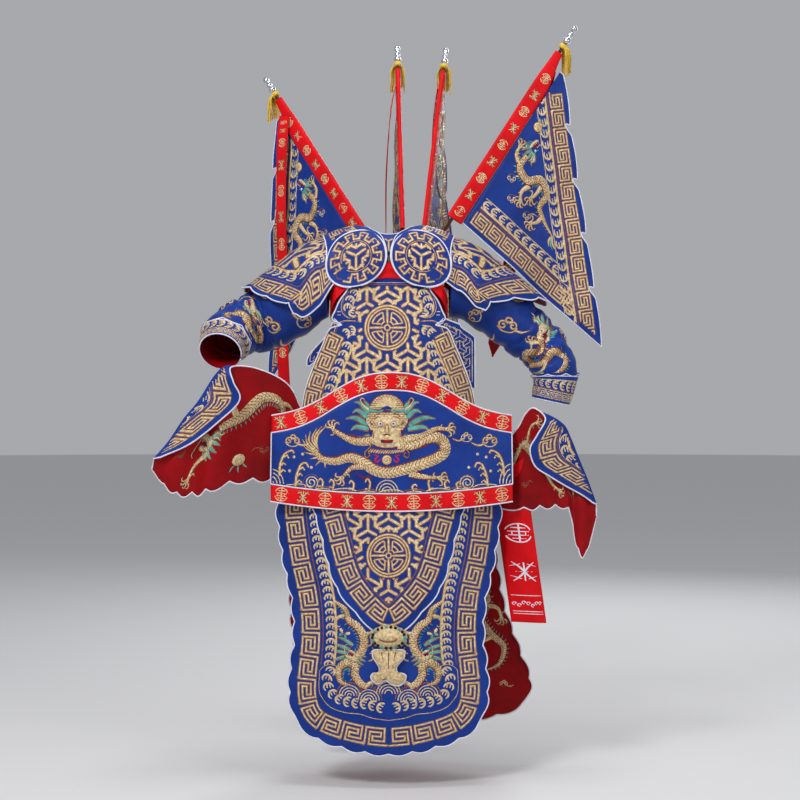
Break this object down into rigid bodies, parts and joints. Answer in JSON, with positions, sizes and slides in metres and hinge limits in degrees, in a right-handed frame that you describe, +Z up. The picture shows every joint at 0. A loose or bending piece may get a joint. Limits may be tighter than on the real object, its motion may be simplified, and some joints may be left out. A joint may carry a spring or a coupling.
{
  "type": "chinese opera armour robe with back flags",
  "caption": "Worn stage armour robe: embroidered aprons, caped sleeves, round-fronted collar, belly plate, lifted thigh panels, sashes and triangular flags on poles behind.",
  "frame": {"origin": "middle of the neck opening at the height of the shoulder seams, where the wearer's neck and shoulders hold the robe up", "axes": "+Z up, -Y the way the wearer faces, +X to the right as seen from the front"},
  "size_m": [1.2705, 0.8964, 2.0641],
  "materials": {
    "blue_embroidered": "satin with gold thread embroidery",
    "red_satin": "satin",
    "gold_work": "padded metal thread work",
    "yellow_silk": "silk floss",
    "pole_and_finial": "bright metal"
  },
  "bodies": {
    "root": {"yoke": "blue_embroidered", "front_apron": "blue_embroidered", "back_apron": "blue_embroidered", "sleeve_left": "blue_embroidered", "sleeve_right": "blue_embroidered", "cuff_left": "blue_embroidered", "cuff_right": "blue_embroidered", "cape_left": "blue_embroidered", "cape_right": "blue_embroidered", "cloud_collar": "blue_embroidered", "armpit_guard_left": "blue_embroidered", "armpit_guard_right": "blue_embroidered", "plate_band_top": "red_satin", "plate": "blue_embroidered", "plate_band_bottom": "red_satin", "tongue": "blue_embroidered", "rosette": "gold_work", "fish_tail": "gold_work", "thigh_panel_left": "red_satin", "thigh_panel_right": "red_satin", "chest_sash": "red_satin", "side_sash": "red_satin", "flag_holder": "red_satin", "pole_outer_left": "pole_and_finial", "pole_pocket_outer_left": "red_satin", "flag_outer_left": "blue_embroidered", "streamer_outer_left": "red_satin", "tassel_outer_left": "yellow_silk", "pole_inner_left": "pole_and_finial", "pole_pocket_inner_left": "red_satin", "flag_inner_left": "blue_embroidered", "streamer_inner_left": "red_satin", "tassel_inner_left": "yellow_silk", "pole_inner_right": "pole_and_finial", "pole_pocket_inner_right": "red_satin", "flag_inner_right": "blue_embroidered", "streamer_inner_right": "red_satin", "tassel_inner_right": "yellow_silk", "pole_outer_right": "pole_and_finial", "pole_pocket_outer_right": "red_satin", "flag_outer_right": "blue_embroidered", "streamer_outer_right": "red_satin", "tassel_outer_right": "yellow_silk"}
  },
  "joints": []
}
